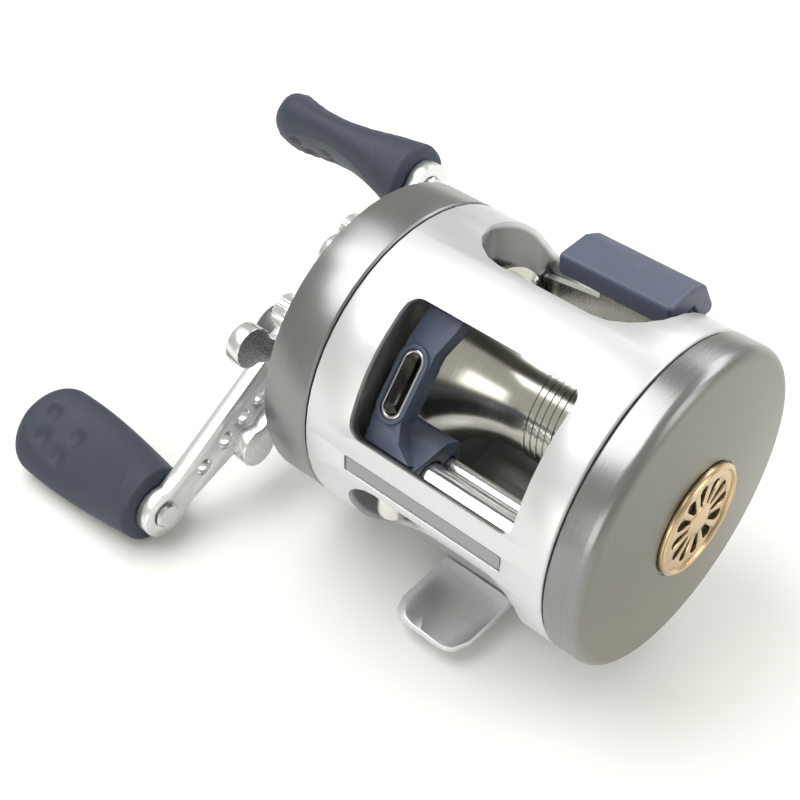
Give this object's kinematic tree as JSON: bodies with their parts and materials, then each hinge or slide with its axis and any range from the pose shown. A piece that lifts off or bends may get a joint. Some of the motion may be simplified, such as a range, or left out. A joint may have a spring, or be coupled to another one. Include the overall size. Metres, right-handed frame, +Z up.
{
  "type": "baitcasting fishing reel",
  "caption": "Round baitcasting reel: open one-piece frame, level-wind line guide, star drag, double-knob handle, thumb bar and saddle foot.",
  "frame": {"origin": "on the flat underside of the foot, straight below the middle of the round frame", "axes": "+X from the handle side to the palm side, along the spool shaft; -Y towards the rod tip; +Z up"},
  "size_m": [0.1122, 0.0806, 0.058],
  "materials": {
    "satin_silver": "satin",
    "dark_gunmetal": "brushed, dark",
    "satin_olive_grey": "satin",
    "slate_rubber": "matt",
    "slate_plastic": "matt",
    "bare_label": "matt, bare",
    "foot_steel": "brushed",
    "handle_aluminium": "satin",
    "polished_aluminium": "polished",
    "steel": "turned",
    "chrome": "polished",
    "brass": "cut",
    "gold_badge": "satin",
    "drag_fibre": "woven fibre",
    "magnet": "matt"
  },
  "bodies": {
    "housing": {"frame": "satin_silver", "bare_label": "bare_label", "reel_foot": "foot_steel", "foot_rivet_1": "steel", "foot_rivet_2": "steel", "handle_side_cover": "dark_gunmetal", "one_way_bearing": "steel", "takedown_thumbscrew_1": "chrome", "takedown_thumbscrew_2": "chrome", "takedown_thumbscrew_3": "chrome", "gear_plate": "satin_silver", "idler_stud": "steel", "yoke_post_1": "steel", "yoke_post_2": "steel", "yoke_spring_1": "steel", "yoke_spring_2": "steel", "spool_bearing_handle": "steel", "spool_bearing_palm": "steel", "worm_tube": "chrome", "guide_rod": "steel", "worm_end_bush": "brass", "brake_plate": "satin_olive_grey", "brake_magnet_ring": "magnet", "brake_plate_screw_1": "steel", "brake_plate_screw_2": "steel", "palm_side_cover": "satin_olive_grey", "palm_badge": "gold_badge"},
    "drive": {"drive_shaft": "steel", "level_wind_drive_gear": "brass", "main_gear": "brass", "drag_washer": "drag_fibre", "drag_key_washer": "steel", "drag_pressure_plate": "steel", "drag_sleeve": "steel", "handle_arm": "handle_aluminium", "handle_nut": "steel", "handle_nut_cap": "dark_gunmetal", "nut_cap_screw": "steel", "knob_pin_front": "steel", "knob_pin_rear": "steel"},
    "star": {"star_drag": "handle_aluminium"},
    "front_knob": {"knob_front": "slate_rubber"},
    "rear_knob": {"knob_rear": "slate_rubber"},
    "spool_unit": {"spool": "polished_aluminium", "spool_shaft": "steel", "clutch_pin": "steel"},
    "pinion": {"pinion_gear": "brass"},
    "yoke": {"clutch_yoke": "steel"},
    "idler": {"idler_gear": "brass"},
    "worm": {"worm_shaft": "steel", "worm_gear": "slate_plastic"},
    "guide": {"line_guide": "slate_plastic", "line_guide_eyelet": "chrome", "level_wind_pawl": "steel", "pawl_cap": "chrome"},
    "thumb_bar": {"thumb_rest": "slate_rubber", "thumb_bar_carrier": "steel", "clutch_slide": "steel"},
    "tension": {"cast_tension_cap": "chrome"}
  },
  "joints": [
    {"name": "handle_turn", "type": "hinge", "parent": "housing", "child": "drive", "pos_m": [0, -0.0035, 0.0195], "axis": [1, 0, 0], "range_deg": [0, 990]},
    {"name": "star_drag_turn", "type": "hinge", "parent": "drive", "child": "star", "pos_m": [0, -0.0035, 0.0195], "axis": [1, 0, 0], "range_deg": [-180, 180]},
    {"name": "front_knob_spin", "type": "hinge", "parent": "drive", "child": "front_knob", "pos_m": [0, -0.03666, 0.00425], "axis": [1, 0, 0], "continuous": true},
    {"name": "rear_knob_spin", "type": "hinge", "parent": "drive", "child": "rear_knob", "pos_m": [0, 0.02966, 0.03475], "axis": [1, 0, 0], "continuous": true},
    {"name": "thumb_press", "type": "slide", "parent": "housing", "child": "thumb_bar", "axis": [0, 0, -1], "range_m": [0, 0.003], "stiffness_N_per_m": 300},
    {"name": "yoke_slide", "type": "slide", "parent": "housing", "child": "yoke", "axis": [-1, 0, 0], "range_m": [0, 0.0013]},
    {"name": "pinion_spin", "type": "hinge", "parent": "yoke", "child": "pinion", "pos_m": [0, 0.004, 0.0315], "axis": [1, 0, 0], "range_deg": [-4950, 0]},
    {"name": "spool_spin", "type": "hinge", "parent": "housing", "child": "spool_unit", "pos_m": [0, 0.004, 0.0315], "axis": [1, 0, 0], "range_deg": [-4950, 0]},
    {"name": "idler_spin", "type": "hinge", "parent": "housing", "child": "idler", "pos_m": [0, -0.01146, 0.02568], "axis": [1, 0, 0], "range_deg": [-1237.5, 0]},
    {"name": "worm_spin", "type": "hinge", "parent": "housing", "child": "worm", "pos_m": [0, -0.0193, 0.0287], "axis": [1, 0, 0], "range_deg": [0, 1414.3]},
    {"name": "line_guide_slide", "type": "slide", "parent": "housing", "child": "guide", "axis": [1, 0, 0], "range_m": [0, 0.0197]},
    {"name": "tension_cap_turn", "type": "hinge", "parent": "housing", "child": "tension", "pos_m": [0, 0.004, 0.0315], "axis": [1, 0, 0], "range_deg": [-180, 180]}
  ],
  "couplings": [
    {"joint": "spool_spin", "follows": "handle_turn", "ratio": -5},
    {"joint": "pinion_spin", "follows": "handle_turn", "ratio": -5},
    {"joint": "idler_spin", "follows": "handle_turn", "ratio": -1.25},
    {"joint": "worm_spin", "follows": "handle_turn", "ratio": 1.4286},
    {"joint": "line_guide_slide", "follows": "handle_turn", "m_per_rad": 0.0011368},
    {"joint": "yoke_slide", "follows": "thumb_press", "ratio": 0.43333}
  ]
}
